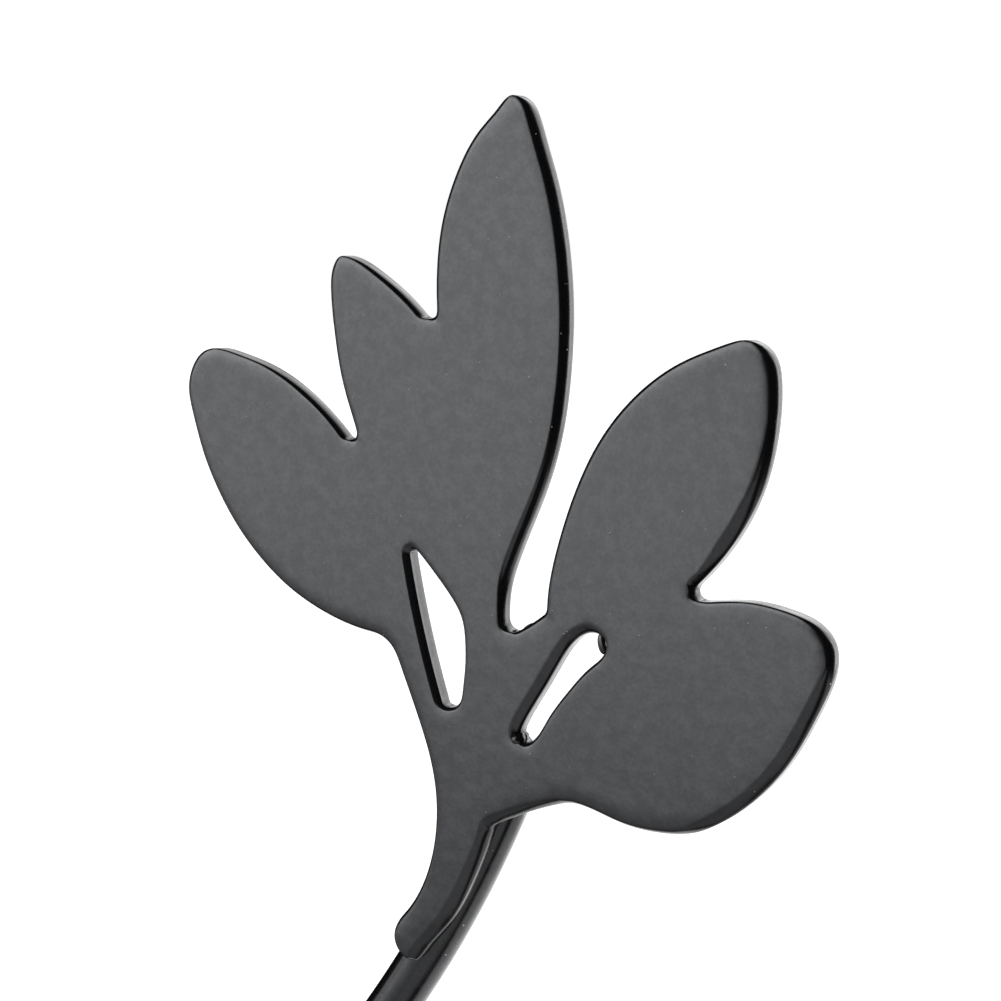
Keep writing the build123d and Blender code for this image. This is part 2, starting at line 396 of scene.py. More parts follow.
def end_tree(tree, start, end, geometry):
    """End a Geometry Nodes tree: realize what it made and give it the material."""
    real = add_node(tree, "GeometryNodeRealizeInstances", {"Geometry": geometry})
    painted = add_node(tree, "GeometryNodeSetMaterial", {
        "Geometry": real.outputs["Geometry"], "Material": start.outputs["Material"],
    })
    feed(tree, end.inputs["Geometry"], painted.outputs["Geometry"])
    return tree


def evaluated_mesh(source, name):
    """Plain mesh of an object's modifiers; the object is removed."""
    depsgraph = bpy.context.evaluated_depsgraph_get()
    mesh = bpy.data.meshes.new_from_object(source.evaluated_get(depsgraph))
    mesh.name = name
    bpy.data.objects.remove(source)
    return mesh


def run_tree(path_points, closed, tree, name, **values):
    """Plain mesh that a Geometry Nodes tree makes along a path of points."""
    count = len(path_points)
    edges = [(i, i + 1) for i in range(count - 1)] + ([(count - 1, 0)] if closed else [])
    path = bpy.data.meshes.new(name + "_path")
    path.from_pydata([tuple(p) for p in path_points], edges, [])
    carrier = add_object(name + "_path", path)
    modifier = carrier.modifiers.new("Shape", "NODES")
    modifier.node_group = tree
    for item in tree.interface.items_tree:
        if item.item_type == "SOCKET" and item.in_out == "INPUT" and item.name in values:
            modifier[item.identifier] = values[item.name]
    return evaluated_mesh(carrier, name)


# Bar

BEND_STEP = 1.0 * MM  # distance between the points of a bend


def sweep_tree():
    """Geometry Nodes: a round section swept along a path."""
    tree, start, end = new_group(
        "Bar Sweep", "GeometryNodeTree",
        [("Geometry", "Geometry", None), ("Diameter", "Float", 0.008),
         ("Sides", "Int", 48), ("Material", "Material", None)],
        [("Geometry", "Geometry")],
    )
    path = add_node(tree, "GeometryNodeMeshToCurve", {"Mesh": start.outputs["Geometry"]})
    section = add_node(tree, "GeometryNodeCurvePrimitiveCircle", {
        "Resolution": start.outputs["Sides"],
        "Radius": maths(tree, "DIVIDE", start.outputs["Diameter"], 2.0),
    })
    swept = add_node(tree, "GeometryNodeCurveToMesh", {
        "Curve": path.outputs["Curve"], "Profile Curve": section.outputs["Curve"],
        "Fill Caps": True,
    })
    return end_tree(tree, start, end, swept.outputs["Mesh"])


def bar_route(spare=0.0):
    """Points of the bar's axis, the centre of its last bend and its end slope."""
    bar = settings("bar")
    spans = 12
    place = Vector((PLATE_HIGH.x, 0.0, bar.height))
    points = [place + Vector((bar.arm_length * i / spans, 0.0, 0.0)) for i in range(spans + 1)]
    slope = 0.0
    bends = [
        (bar.drop_radius, -bar.drop_angle),
        (bar.cup_radius, bar.drop_angle + bar.lift_angle),
        (bar.lift_radius, bar.lift_turn + spare / bar.lift_radius),
    ]
    for radius, angle in bends:
        side = math.copysign(1.0, angle)
        out = Vector((math.sin(slope), 0.0, -math.cos(slope))) * side
        centre = points[-1] - out * radius
        count = max(4, round(radius * abs(angle) / BEND_STEP))
        for i in range(1, count + 1):
            now = slope + angle * i / count
            out = Vector((math.sin(now), 0.0, -math.cos(now))) * side
            points.append(centre + out * radius)
        slope += angle
    return points, centre, slope


class BRACKET_OT_bar(Operator):
    """Sweep the round bar along its bends and cut its end on the slant."""
    bl_idname = "bracket.bar"
    bl_label = "Bar"

    def execute(self, context):
        bar = settings("bar")
        material = coat_material("Bar Coat", peel_share=0.8)
        mesh = run_tree(
            bar_route(spare=bar.diameter)[0], False, sweep_tree(), "bar",
            Diameter=bar.diameter, Sides=bar.sides, Material=material,
        )
        shape = bmesh.new()
        shape.from_mesh(mesh)
        points, _, slope = bar_route()
        facing = slope - bar.cut_angle
        outward = Vector((math.cos(facing), 0.0, math.sin(facing)))
        cut = bmesh.ops.bisect_plane(
            shape, geom=shape.verts[:] + shape.edges[:] + shape.faces[:], plane_co=points[-1],
            plane_no=outward, clear_outer=True,
        )
        rim = [e for e in cut["geom_cut"] if isinstance(e, bmesh.types.BMEdge)]
        bmesh.ops.contextual_create(shape, geom=rim)
        bmesh.ops.bevel(
            shape, geom=rim, offset=bar.cut_edge, segments=3, profile=0.5, affect="EDGES",
        )
        bmesh.ops.recalc_face_normals(shape, faces=shape.faces)
        shape.to_mesh(mesh)
        shape.free()
        finish_piece(mesh, "bar", material, "arm_rod")
        return {"FINISHED"}


# Leaves

# Lengths in millimetres
OUTLINE_STEP = 0.05  # distance between the points of a smoothed outline
BACK_FLAT = 0.5  # flat ring inside the back's rounding
WALL_RING = 0.07  # ring on the wall just below the rounding
INSETS = (0.35, 0.75, 1.2, 1.7, 2.3, 3.0, 3.8, 4.8)  # rows of the face's points in the border
INSET_SLACK = 0.06  # how much nearer to an edge than its row a point may lie
BORDER_SPACING = 0.45  # least distance between points in the border
GRID_STEP = 2.5  # grid of points on the flat part of the face
GRID_SPACING = 1.5  # least distance between a point of the grid and any other
GRID_START = 5.2  # distance of the grid from the edges

# Shares, and the fullness of a rounding: 2 is a quarter circle, 1 a straight bevel
SLOT_TILT, SLOT_BORDER = 0.5, 0.6  # the slots' borders beside the outer one's
TIGHT_LOSS = 0.45  # share of its width that a rounding loses in the tightest gap
ROUND, EDGE_FULLNESS, BEVEL_FLATTENING = 2.0, 1.9, 0.6
LEFT_SLOT_FULLNESS, RIGHT_SLOT_FULLNESS = 1.15, 1.75
FLAT_TILT = math.radians(0.3)  # least tilt of the border


def back_loops():
    """Closed outlines of the sheet's back face in millimetres, longest first."""
    shape = merged_copy("leaf_spray")
    back = max(v.co.y for v in shape.verts)
    ways = {}
    for edge in shape.edges:
        on_back = all(abs(v.co.y - back) < 0.002 * MM for v in edge.verts)
        flat = [abs(face.normal.y) > 0.99 for face in edge.link_faces]
        if on_back and sorted(flat) == [False, True]:
            a, b = edge.verts
            ways.setdefault(a.index, []).append(b.index)
            ways.setdefault(b.index, []).append(a.index)
    shape.verts.ensure_lookup_table()
    loops = []
    while ways:
        first = next(iter(ways))
        loop = [first]
        last, here = None, first
        while True:
            onward = [n for n in ways[here] if n != last]
            last, here = here, onward[0]
            if here == first:
                break
            loop.append(here)
        for index in loop:
            del ways[index]
        loops.append(np.array([(shape.verts[i].co.x, shape.verts[i].co.z) for i in loop]) / MM)
    shape.free()
    return sorted(loops, key=len, reverse=True)


def loop_area(points):
    """Signed area of a closed outline."""
    x, y = points.T
    return 0.5 * np.sum(x * np.roll(y, -1) - np.roll(x, -1) * y)


def smooth_loop(points, spacing=OUTLINE_STEP, blur=0.3):
    """A closed outline taken through its points and evened along its length."""
    after, before = np.roll(points, -1, 0), np.roll(points, 1, 0)
    ahead = np.linalg.norm(after - points, axis=1)[:, None]
    behind = np.linalg.norm(points - before, axis=1)[:, None]
    slope = behind * (after - points) / ahead + ahead * (points - before) / behind
    slope /= ahead + behind
    dense = []
    for i in range(len(points)):
        j = (i + 1) % len(points)
        span = ahead[i, 0]
        t = np.linspace(0, 1, max(2, int(span / spacing) + 1), endpoint=False)[:, None]
        dense.append(
            (2 * t**3 - 3 * t**2 + 1) * points[i] + (t**3 - 2 * t**2 + t) * span * slope[i]
            + (3 * t**2 - 2 * t**3) * points[j] + (t**3 - t**2) * span * slope[j]
        )
    dense = np.vstack(dense)
    closed = np.vstack([dense, dense[:1]])
    along = np.concatenate([[0], np.cumsum(np.linalg.norm(np.diff(closed, axis=0), axis=1))])
    count = int(along[-1] / spacing)
    even = np.linspace(0, along[-1], count, endpoint=False)
    line = np.stack([np.interp(even, along, closed[:, k]) for k in (0, 1)], 1)
    wave = np.fft.rfftfreq(count, along[-1] / count)
    damp = np.exp(-2 * (np.pi * wave * blur) ** 2)[:, None]
    return np.fft.irfft(np.fft.rfft(line, axis=0) * damp, count, axis=0)


def thinned(line, largest=0.6, turn_degrees=7.0):
    """Fewer points of an even outline: close together in tight bends only."""
    step = np.roll(line, -1, 0) - line
    heading = np.unwrap(np.arctan2(step[:, 1], step[:, 0]))
    bend = np.abs(np.diff(heading, append=heading[-1]))
    share = np.linalg.norm(step, axis=1) / largest + bend / math.radians(turn_degrees)
    total = np.cumsum(share)
    count = int(total[-1])
    return np.unique(np.searchsorted(total, (np.arange(count) + 0.5) * total[-1] / count))


def inward_normals(line, solid_left):
    """Unit normals that point into the sheet."""
    along = np.roll(line, -1, 0) - np.roll(line, 1, 0)
    along /= np.linalg.norm(along, axis=1)[:, None]
    side = 1.0 if solid_left else -1.0
    return side * np.stack([-along[:, 1], along[:, 0]], 1)


def border_tilt(line, normals, sheet):
    """Tilt and width in millimetres of the rolled border, by the way that its edge faces."""
    right, up = -normals[:, 0], -normals[:, 1]
    along = (line[:, 0] - SHEET_LOW.x / MM) / (sheet.side_start / MM)
    past = np.clip(4 * (along - 1), 0, 1)
    over = np.clip(up + 0.25 * right, 0, 1)
    under = 0.6 * np.clip(0.5 * right * past - 0.85 * up, 0, 1) * (1 - 0.8 * down_right(right, up))
    lower_right = np.clip(0.75 * right - 0.66 * up, 0, 1) ** 2
    width = sheet.roll_width + lower_right * sheet.corner_roll
    return sheet.roll_angle * (over + under) + FLAT_TILT, width / MM


def down_right(right, up):
    """How far each point's edge faces down and to the right, from 0 to 1."""
    return np.clip(3.2 * (right * np.clip(-up, 0, 1) - 0.11), 0, 1)


def worn_share(normals):
    """How far each point of a slot's outline lies on its worn left side, from 0 to 1."""
    return np.clip(-1.2 * normals[:, 0] + 0.8 * normals[:, 1], 0, 1)


def tightness(line, normals, reach):
    """How near the edge across a gap or notch comes to each point, from 0 to 1."""
    ahead = line - normals * reach
    gap = [np.linalg.norm(line - point, axis=1).min() for point in ahead]
    return (1 - np.clip(np.array(gap) / reach, 0, 1)) * np.clip(-2 * normals[:, 0], 0, 1)


def edge_shape(line, normals, number, is_right, sheet):
    """Width, depth and fullness of the rounding at each point of one outline, in millimetres."""
    if number == 0:
        right, up = -normals[:, 0], -normals[:, 1]
        slope = down_right(right, up)
        bevel_depth = sheet.bevel_depth * (1.45 - 0.9 * np.clip(-up, 0, 1))
        width, depth = sheet.top_width, sheet.top_depth
        for amount, wide, deep in (
            (np.clip(-right, 0, 1), sheet.left_radius, sheet.left_radius),
            (np.clip(0.35 + 0.88 * right - 0.66 * up, 0, 1), sheet.edge_width, sheet.edge_depth),
            (slope, sheet.bevel_width, bevel_depth),
        ):
            width = width + amount * (wide - width)
            depth = depth + amount * (deep - depth)
        width *= 1 - TIGHT_LOSS * tightness(line, normals, sheet.gap_reach / MM)
        return width / MM, depth / MM, EDGE_FULLNESS - BEVEL_FLATTENING * slope
    if is_right:
        worn = sheet.right_slot_width, sheet.right_slot_depth, RIGHT_SLOT_FULLNESS
    else:
        worn = sheet.left_slot_width, sheet.left_slot_depth, LEFT_SLOT_FULLNESS
    share = worn_share(normals)
    plain = sheet.slot_radius
    width = plain + share * (worn[0] - plain)
    depth = plain + share * (worn[1] - plain)
    return width / MM, depth / MM, ROUND + share * (worn[2] - ROUND)


def border_profile(width, depth, fullness, tilt, steps):
    """Inward distance and depth below the face, from the wall to the tilted border."""
    start = np.arctan((np.tan(tilt) * width / depth) ** (fullness / (2 * (fullness - 1))))
    rings = []
    for share in np.linspace(1, 0, steps + 1):
        a = start + share * (math.pi / 2 - start)
        out, high = np.sin(a) ** (2 / fullness), np.clip(np.cos(a), 0, 1) ** (2 / fullness)
        rings.append((width * (1 - out), depth * (1 - high)))
    return rings


def sheet_mesh():
    """The leaves as a dense closed mesh: back, walls, roundings, borders and face."""
    sheet = settings("sheet")
    front, back = (SHEET_LOW.y - sheet.film) / MM, SHEET_HIGH.y / MM
    back_radius = sheet.back_radius / MM
    vertices, faces, rims, back_rims, borders = [], [], [], [], []

    def add_ring(points, y):
        """Add one closed ring of vertices and give their numbers."""
        first = len(vertices)
        depth = np.broadcast_to(y, len(points))
        vertices.extend((p[0], d, p[1]) for p, d in zip(points, depth))
        return list(range(first, first + len(points)))

    loops = back_loops()
    rightmost = max((1, 2), key=lambda number: loops[number][:, 0].mean())
    for number, raw in enumerate(loops):
        line = smooth_loop(raw if loop_area(raw) > 0 else raw[::-1])
        normals = inward_normals(line, number == 0)
        keep = thinned(line)
        line, normals = line[keep] - normals[keep] * sheet.film / MM, normals[keep]
        if number:
            coat = sheet.right_slot_coat if number == rightmost else sheet.left_slot_coat
            line = line - normals * worn_share(normals)[:, None] * coat / MM
        tilt, width = border_tilt(line, normals, sheet)
        if number:
            tilt, width = SLOT_TILT * tilt, SLOT_BORDER * width
        drop = tilt * width / 3
        shape = edge_shape(line, normals, number, number == rightmost, sheet)
        profile = border_profile(*shape, tilt, sheet.round_steps)
        rings = []
        for inward, y in (
            (back_radius + BACK_FLAT, back), (back_radius, back),
            (back_radius * 0.3, back - back_radius * 0.3), (0.0, back - back_radius),
        ):
            rings.append(add_ring(line + normals * inward, y))
        rings.append(add_ring(line, front + drop + profile[0][1] + WALL_RING))
        for inward, depth in profile:
            rings.append(add_ring(line + normals * inward[:, None], front + drop + depth))
        for a, b in zip(rings, rings[1:]):
            for i in range(len(a)):
                j = (i + 1) % len(a)
                faces.append((a[i], a[j], b[j], b[i]) if number else (a[i], b[i], b[j], a[j]))
        rims.append(rings[-1])
        back_rims.append(rings[0])
        borders.append((line, tilt, width, profile[-1][0]))
    return vertices, faces, rims, back_rims, [np.concatenate(part) for part in zip(*borders)]


def fill_flat(rim_loops, extra):
    """Triangles between closed rims, the first outermost, with extra points inside."""
    flat, edges, sides = [], [], []
    for number, line in enumerate(rim_loops):
        first = len(flat)
        flat += [Vector(p) for p in line]
        edges += [(first + k, first + (k + 1) % len(line)) for k in range(len(line))]
        sides.append(inward_normals(line, number == 0))
    sides = np.vstack(sides)
    rim_count = len(flat)
    nearest = KDTree(rim_count)
    for i, p in enumerate(flat):
        nearest.insert((p.x, p.y, 0.0), i)
    nearest.balance()
    flat += [Vector(p) for p in extra]
    found, _, triangles, origins, _, _ = delaunay_2d_cdt(flat, edges, [], 0, 1e-7)
    kept = []
    for triangle in triangles:
        middle = sum((found[i] for i in triangle), Vector((0.0, 0.0))) / 3
        _, index, _ = nearest.find((middle.x, middle.y, 0.0))
        off = middle - flat[index]
        if off.x * sides[index][0] + off.y * sides[index][1] > 0:
            kept.append([origins[i][0] for i in triangle])
    return kept


class BRACKET_OT_leaves(Operator):
    """Model the spray of leaves with its rolled borders and rounded edges."""
    bl_idname = "bracket.leaves"
    bl_label = "Leaves"

    def execute(self, context):
        vertices, faces, rims, back_rims, (outline, tilts, widths, starts) = sheet_mesh()
        front = (SHEET_LOW.y - settings("sheet").film) / MM
        tree = KDTree(len(outline))
        for i, p in enumerate(outline):
            tree.insert((p[0], p[1], 0.0), i)
        tree.balance()

        def border_drop(x, z):
            """Depth of the tilted border at a point of the face, and the edge's distance."""
            _, index, gap = tree.find((x, z, 0.0))
            rest = max(0.0, 1 - (gap - starts[index]) / widths[index])
            return tilts[index] * widths[index] / 3 * rest**3, gap - starts[index]

        extra, taken = [], {}

        def offer(x, z, spacing):
            """Keep a point for the face if none lies too near it."""
            cell = (int(x // spacing), int(z // spacing))
            for i in (-1, 0, 1):
                for j in (-1, 0, 1):
                    for q in taken.get((cell[0] + i, cell[1] + j), ()):
                        if (q[0] - x) ** 2 + (q[1] - z) ** 2 < spacing * spacing * 0.6:
                            return
            taken.setdefault(cell, []).append((x, z))
            extra.append((x, z))

        def flat_line(rim):
            """A ring of vertices, seen from the front."""
            return np.array([(vertices[i][0], vertices[i][2]) for i in rim])

        for number, rim in enumerate(rims):
            line = flat_line(rim)
            normals = inward_normals(line, number == 0)
            for inset in INSETS:
                for p, n in zip(line, normals):
                    x, z = p + n * inset
                    if border_drop(x, z)[1] > inset - INSET_SLACK:
                        offer(x, z, BORDER_SPACING)
        low, high = outline.min(0), outline.max(0)
        for x in np.arange(low[0], high[0], GRID_STEP):
            for z in np.arange(low[1], high[1], GRID_STEP):
                if border_drop(x, z)[1] > GRID_START:
                    offer(x, z, GRID_SPACING)
        for loops, inside in ((rims, extra), (back_rims, [])):
            numbers = [i for rim in loops for i in rim]
            for x, z in inside:
                numbers.append(len(vertices))
                vertices.append((x, front + border_drop(x, z)[0], z))
            filled = fill_flat([flat_line(rim) for rim in loops], inside)
            faces += [[numbers[i] for i in triangle] for triangle in filled]
        mesh = bpy.data.meshes.new("leaves")
        mesh.from_pydata([Vector(v) * MM for v in vertices], [], faces)
        shape = bmesh.new()
        shape.from_mesh(mesh)
        bmesh.ops.recalc_face_normals(shape, faces=shape.faces)
        shape.to_mesh(mesh)
        shape.free()
        finish_piece(mesh, "leaves", coat_material("Leaf Coat"), "leaf_spray")
        return {"FINISHED"}


# Runs and burrs of the coat on the leaves' edges, in millimetres and degrees: (right and up from
# the sheet's lower left corner, y of the frame), half sizes (along, across, deep), turn
EDGE_MARKS = {
    "run": ((76.85, 54.1, -6.1), (1.6, 0.68, 0.4), 100),
    "nick": ((72.3, 46.5, -6.6), (0.4, 0.22, 0.25), 60),
    "side burr": ((105.7, 37.1, -5.5), (0.5, 0.25, 0.4), 55),
    "thread": ((70.8, 108.15, -6.45), (0.4, 0.07, 0.07), 10),
    "floor burr": ((61.3, 54.7, -5.5), (0.45, 0.2, 0.5), 15),
    "slope burr": ((63.9, 55.75, -5.6), (1.0, 0.2, 0.5), 32),
    "upper slope burr": ((66.2, 57.05, -5.6), (0.9, 0.2, 0.5), 32),
    "left notch burr": ((31.5, 82.4, -5.5), (0.5, 0.2, 0.5), 10),
    "top notch burr": ((46.3, 102.1, -5.5), (0.5, 0.2, 0.5), 10),
}


class BRACKET_OT_marks(Operator):
    """Lay the coat's runs and burrs on the edges of the leaves."""
    bl_idname = "bracket.marks"
    bl_label = "Marks"

    def execute(self, context):
        shape = bmesh.new()
        for (x, z, y), half, degrees in EDGE_MARKS.values():
            place = Matrix.Translation((SHEET_LOW.x + x * MM, y * MM, SHEET_LOW.z + z * MM))
            turned = Matrix.Rotation(math.radians(-degrees), 4, "Y")
            size = Matrix.Diagonal((half[0] * MM, half[2] * MM, half[1] * MM, 1.0))
            bmesh.ops.create_uvsphere(
                shape, u_segments=BALL_SEGMENTS, v_segments=BALL_RINGS, radius=1.0,
                matrix=place @ turned @ size,
            )
        material = coat_material("Mark Coat", peel_share=0.0, dust_share=0.0)
        finish_piece(mesh_from(shape, "edge_marks"), "edge_marks", material, "leaf_spray")
        return {"FINISHED"}


# Welds

RING_SHARE = 0.45  # share of the ring bead's radius from the corner to its middle
STITCH_GAP = 0.3 * MM  # from the bar's side to the middle of a stitch


def scales_tree():
    """Geometry Nodes: overlapping ripples of a weld bead along a path."""
    tree, start, end = new_group(
        "Weld Ripples", "GeometryNodeTree",
        [("Geometry", "Geometry", None), ("Pitch", "Float", 0.001),
         ("Radius", "Float", 0.002), ("Lean", "Float", 0.5),
         ("Seed", "Int", 1), ("Material", "Material", None)],
        [("Geometry", "Geometry")],
    )
    path = add_node(tree, "GeometryNodeMeshToCurve", {"Mesh": start.outputs["Geometry"]})
    points = add_node(tree, "GeometryNodeCurveToPoints", {
        "Curve": path.outputs["Curve"], "Length": start.outputs["Pitch"],
    }, mode="LENGTH")
    ball = add_node(tree, "GeometryNodeMeshUVSphere", {
        "Segments": BALL_SEGMENTS, "Rings": BALL_RINGS, "Radius": 1.0,
    })
    chance = add_node(tree, "FunctionNodeRandomValue", {
        "Min": 0.9, "Max": 1.0, "Seed": start.outputs["Seed"],
    }, data_type="FLOAT")
    across = maths(tree, "MULTIPLY", chance.outputs["Value"], start.outputs["Radius"])
    size = add_node(tree, "ShaderNodeCombineXYZ", {
        0: across, 1: across, 2: maths(tree, "MULTIPLY", start.outputs["Pitch"], 1.5),
    })
    lean = add_node(tree, "FunctionNodeAxisAngleToRotation", {
        "Axis": (0.0, 1.0, 0.0), "Angle": start.outputs["Lean"],
    })
    turned = add_node(tree, "FunctionNodeRotateRotation", {
        "Rotation": points.outputs["Rotation"], "Rotate By": lean.outputs["Rotation"],
    }, rotation_space="LOCAL")
    scales = add_node(tree, "GeometryNodeInstanceOnPoints", {
        "Points": points.outputs["Points"], "Instance": ball.outputs["Mesh"],
        "Rotation": turned.outputs["Rotation"], "Scale": size.outputs["Vector"],
    })
    return end_tree(tree, start, end, scales.outputs["Instances"])


def rounded_lump(mesh, voxel, smoothing, height, pitch):
    """One skin over a rough mesh, smoothed and given lumps like molten metal."""
    carrier = add_object("lump", mesh)
    skin = carrier.modifiers.new("Skin", "REMESH")
    skin.mode = "VOXEL"
    skin.voxel_size = voxel
    soft = carrier.modifiers.new("Soft", "SMOOTH")
    soft.factor = 0.5
    soft.iterations = smoothing
    made = evaluated_mesh(carrier, mesh.name)
    for vertex, normal in zip(made.vertices, [v.normal.copy() for v in made.vertices]):
        wave = noise.noise(vertex.co / pitch) + 0.4 * noise.noise(vertex.co * 2.3 / pitch)
        vertex.co += normal * wave * height
    return made


class BRACKET_OT_welds(Operator):
    """Lay the bead at the wall, the stitches behind the leaves and the bar's end lump."""
    bl_idname = "bracket.welds"
    bl_label = "Welds"

    def execute(self, context):
        weld, bar = settings("weld"), settings("bar")
        material = coat_material("Weld Coat", peel_share=1.5, dust_share=0.0)
        ripples = scales_tree()
        shown = weld.ring_radius * RING_SHARE
        reach = bar.diameter / 2 + shown
        ring = [
            Vector((PLATE_HIGH.x + shown, reach * math.cos(a), bar.height + reach * math.sin(a)))
            for a in np.linspace(0, 2 * math.pi, 96, endpoint=False)
        ]
        mesh = run_tree(
            ring, True, ripples, "wall_weld", Pitch=weld.scale_pitch * 1.15,
            Radius=weld.ring_radius, Lean=0.5, Seed=3, Material=material,
        )
        finish_piece(mesh, "wall_weld", material, "weld_wall")
        centre = bar_route()[1]
        for seed, node, side in (
            (7, "weld_stem", -1), (8, "weld_web_left", -1), (9, "weld_web_right", 1),
        ):
            low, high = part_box(node)
            inset = high.y - low.y
            radius = bar.lift_radius + side * (bar.diameter / 2 + STITCH_GAP)
            line = []
            for z in np.linspace(low.z + inset, high.z - inset, 16):
                x = centre.x + math.sqrt(radius**2 - (z - centre.z) ** 2)
                line.append(Vector((x, low.y, z)))
            mesh = run_tree(
                line, False, ripples, node, Pitch=weld.scale_pitch,
                Radius=weld.bead_radius, Lean=0.45, Seed=seed, Material=material,
            )
            finish_piece(mesh, node.replace("weld_", "stitch_"), material, node)
        lump = rounded_lump(
            mesh_from(merged_copy("weld_rod_end"), "end_lump"), voxel=0.11 * MM, smoothing=5,
            height=weld.lump_noise, pitch=1.1 * MM,
        )
        finish_piece(lump, "end_lump", material, "weld_rod_end")
        return {"FINISHED"}


# Stage

FLOOR_HALF = 6.0  # half the floor's side in metres
FLOOR_GAP = 1 * MM  # from the floor to the foot of the wall plate
FLOOR_LIFT = 0.65  # light that the camera sees on the floor besides its colour


def direction(azimuth, elevation):
    """Unit vector at an azimuth and an elevation in degrees; azimuth 0 faces the leaves."""
    a, e = math.radians(azimuth), math.radians(elevation)
    return Vector((math.sin(a) * math.cos(e), -math.cos(a) * math.cos(e), math.sin(e)))


def soft_panel_group():
    """A soft-edged rectangle of light, seen in a direction, as a brightness."""
    tree, start, end = new_group(
        "Soft Panel", "ShaderNodeTree",
        [(label, "Vector", None) for label in ("Direction", "Facing", "Side", "Up")]
        + [("Left", "Float", -0.5), ("Right", "Float", 0.5), ("Bottom", "Float", -0.5),
           ("Top", "Float", 0.5), ("Side Softness", "Float", 0.1), ("End Softness", "Float", 0.1),
           ("Level", "Float", 1.0)],
        [("Level", "Float")],
    )
    way = start.outputs["Direction"]
    depth = dot(tree, way, start.outputs["Facing"])
    safe = maths(tree, "MAXIMUM", depth, 0.02)
    across = maths(tree, "DIVIDE", dot(tree, way, start.outputs["Side"]), safe)
    height = maths(tree, "DIVIDE", dot(tree, way, start.outputs["Up"]), safe)
    level = maths(tree, "MULTIPLY", start.outputs["Level"], smooth_step(tree, depth, 0.02, 0.06))
    for value, low, high, soft in (
        (across, "Left", "Right", "Side Softness"), (height, "Bottom", "Top", "End Softness"),
    ):
        full = maths(tree, "ADD", start.outputs[low], start.outputs[soft])
        rise = smooth_step(tree, value, start.outputs[low], full)
        full = maths(tree, "SUBTRACT", start.outputs[high], start.outputs[soft])
        fall = smooth_step(tree, value, start.outputs[high], full)
        level = maths(tree, "MULTIPLY", level, maths(tree, "MULTIPLY", rise, fall))
    feed(tree, end.inputs["Level"], level)
    return tree


def panel(tree, way, azimuth, elevation, sides, ends, softness, level, roll=0.0):
    """Place a soft panel in the studio's world; sides and ends are angles in degrees."""
    facing = direction(azimuth, elevation)
    side = Vector((0, 0, 1)).cross(facing).normalized()
    up = facing.cross(side).normalized()
    r = math.radians(roll)
    side, up = side * math.cos(r) + up * math.sin(r), up * math.cos(r) - side * math.sin(r)
    edge = [math.tan(math.radians(a)) for a in (*sides, *ends)]
    node = place_group(
        tree, bpy.data.node_groups["Soft Panel"], Direction=way, Facing=facing, Side=side, Up=up,
        Left=edge[0], Right=edge[1], Bottom=edge[2], Top=edge[3], Side_Softness=softness[0],
        End_Softness=softness[1], Level=level,
    )
    return node.outputs["Level"]


def brightest(tree, first, *others):
    """The largest of several values."""
    for value in others:
        first = maths(tree, "MAXIMUM", first, value)
    return first


def make_world():
    """White studio: a soft panel at the left front, a pale glow below it, white behind."""
    stage = settings("stage")
    soft_panel_group()
    world = bpy.data.worlds.new("Studio")
    bpy.context.scene.world = world
    world.use_nodes = True
    tree = world.node_tree
    tree.nodes.clear()
    way = add_node(tree, "ShaderNodeTexCoord").outputs["Generated"]
    split = add_node(tree, "ShaderNodeSeparateXYZ", {0: way})
    key = panel(tree, way, -30, 8, (-30, 23), (-24.5, 24), (0.14, 0.22), stage.key, roll=-14)
    crown = panel(tree, way, -30, 21, (-26, 22), (-20, 16), (0.14, 0.30), stage.crown)
    glow = panel(tree, way, -33, -28, (-56, 36), (-37, 37), (0.2, 0.2), stage.glow, roll=-28)
    fade = maths(tree, "MULTIPLY_ADD", split.outputs["Z"], 0.95, 1.0)
    low = panel(tree, way, 52, -42, (-50, 12), (-17, 15.5), (0.15, 0.06), stage.low)
    feet = panel(tree, way, 10, -58, (-25, 13), (-20, 22), (0.1, 0.15), stage.feet)
    below = brightest(tree, maths(tree, "MULTIPLY", glow, fade), low, feet)
    sweep = panel(tree, way, 155, 12, (-21, 45), (-35, 30), (0.08, 0.3), stage.back)
    under = panel(tree, way, 170, -45, (-17, 48), (-50, 60), (0.08, 0.3), stage.back, roll=-18)
    ground = panel(tree, way, 130, -60, (-26, 45), (-34, 34), (0.17, 0.3), stage.ground, roll=20)
    far = panel(tree, way, 200, 20, (-25, 22), (-30, 30), (0.1, 0.3), stage.far)
    rim = panel(tree, way, 146, -6, (-11, 10), (-28, 30), (0.1, 0.2), stage.rim)
    behind = brightest(tree, sweep, under, far, ground)
    total = maths(tree, "ADD", maths(tree, "ADD", key, crown), below)
    total = maths(tree, "ADD", total, maths(tree, "ADD", behind, rim))
    path = tree.nodes.new("ShaderNodeLightPath")
    for ray, level in (("Is Diffuse Ray", stage.fill), ("Is Camera Ray", 1.0)):
        total = add_node(tree, "ShaderNodeMix", {
            "Factor": path.outputs[ray], "A": total, "B": level,
        }, data_type="FLOAT").outputs["Result"]
    light = add_node(tree, "ShaderNodeBackground", {
        "Color": (1.0, 1.0, 1.0, 1.0), "Strength": total,
    })
    add_node(tree, "ShaderNodeOutputWorld", {"Surface": light.outputs["Background"]})


def floor_material():
    """Pale floor that looks white where nothing shades it."""
    material = bpy.data.materials.new("Floor")
    material.use_nodes = True
    tree = material.node_tree
    shader = tree.nodes["Principled BSDF"]
    path = tree.nodes.new("ShaderNodeLightPath")
    feed_all(tree, shader, {
        "Base Color": (0.8, 0.8, 0.8, 1.0), "Roughness": 0.9,
        "Emission Color": (1.0, 1.0, 1.0, 1.0),
        "Emission Strength": maths(tree, "MULTIPLY", path.outputs["Is Camera Ray"], FLOOR_LIFT),
    })
    return material


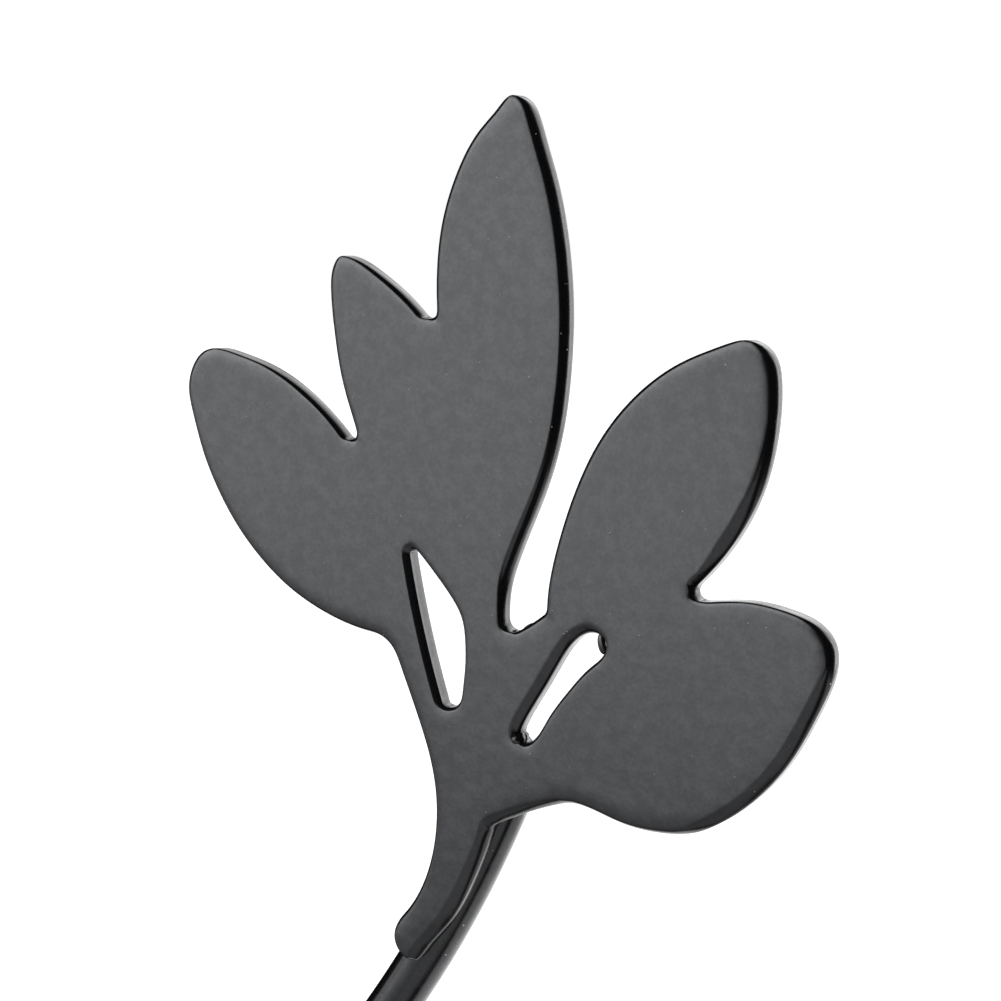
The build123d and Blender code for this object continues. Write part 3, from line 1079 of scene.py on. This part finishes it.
class BRACKET_OT_stage(Operator):
    """Set the floor, the studio light and the camera."""
    bl_idname = "bracket.stage"
    bl_label = "Stage"

    def execute(self, context):
        stage = settings("stage")
        scene = context.scene
        scene.view_settings.view_transform = "Standard"
        make_world()
        level = PLATE_LOW.z - FLOOR_GAP
        mesh = bpy.data.meshes.new("floor")
        corners = [
            (x * FLOOR_HALF, y * FLOOR_HALF, level) for x, y in ((-1, -1), (1, -1), (1, 1), (-1, 1))
        ]
        mesh.from_pydata(corners, [], [(0, 1, 2, 3)])
        mesh.materials.append(floor_material())
        floor = add_object("floor", mesh)
        floor.visible_glossy = False
        camera = bpy.data.cameras.new("camera")
        camera.lens = stage.lens
        camera.sensor_width = 36.0
        camera.clip_start = 0.01
        eye = add_object("camera", camera)
        back = direction(math.degrees(stage.azimuth), math.degrees(stage.elevation))
        eye.location = Vector(stage.target) + back * stage.distance
        eye.rotation_mode = "QUATERNION"
        eye.rotation_quaternion = (-back).to_track_quat("-Z", "Y")
        scene.camera = eye
        return {"FINISHED"}


class BRACKET_OT_finish(Operator):
    """Make the node groups of the coat and paint the wall plate."""
    bl_idname = "bracket.finish"
    bl_label = "Coat"

    def execute(self, context):
        orange_peel_group()
        dust_group()
        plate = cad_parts["wall_plate"]
        plate.data.materials.clear()
        plate.data.materials.append(coat_material("Plate Coat"))
        return {"FINISHED"}


class BRACKET_PT_panel(Panel):
    """Lists the steps that build the bracket."""
    bl_label = "Plant Bracket"
    bl_idname = "BRACKET_PT_panel"
    bl_space_type = "VIEW_3D"
    bl_region_type = "UI"
    bl_category = "Bracket"

    def draw(self, context):
        for step in STEPS:
            self.layout.operator(step.bl_idname)


GROUPS = {
    "coat": BRACKET_PG_coat,
    "bar": BRACKET_PG_bar,
    "sheet": BRACKET_PG_sheet,
    "weld": BRACKET_PG_weld,
    "stage": BRACKET_PG_stage,
}
STEPS = (
    BRACKET_OT_finish, BRACKET_OT_bar, BRACKET_OT_leaves, BRACKET_OT_marks, BRACKET_OT_welds,
    BRACKET_OT_stage,
)


def register():
    """Register the sizes, the steps and the panel."""
    for name, group in GROUPS.items():
        bpy.utils.register_class(group)
        setattr(bpy.types.Scene, "bracket_" + name, PointerProperty(type=group))
    for item in (*STEPS, BRACKET_PT_panel):
        bpy.utils.register_class(item)


def unregister():
    """Remove what register added."""
    for item in (BRACKET_PT_panel, *reversed(STEPS)):
        bpy.utils.unregister_class(item)
    for name, group in reversed(GROUPS.items()):
        delattr(bpy.types.Scene, "bracket_" + name)
        bpy.utils.unregister_class(group)


def main():
    """Build the bracket."""
    register()
    bpy.ops.bracket.finish()
    bpy.ops.bracket.bar()
    bpy.ops.bracket.leaves()
    bpy.ops.bracket.marks()
    bpy.ops.bracket.welds()
    bpy.ops.bracket.stage()


if __name__ == "__main__":
    main()
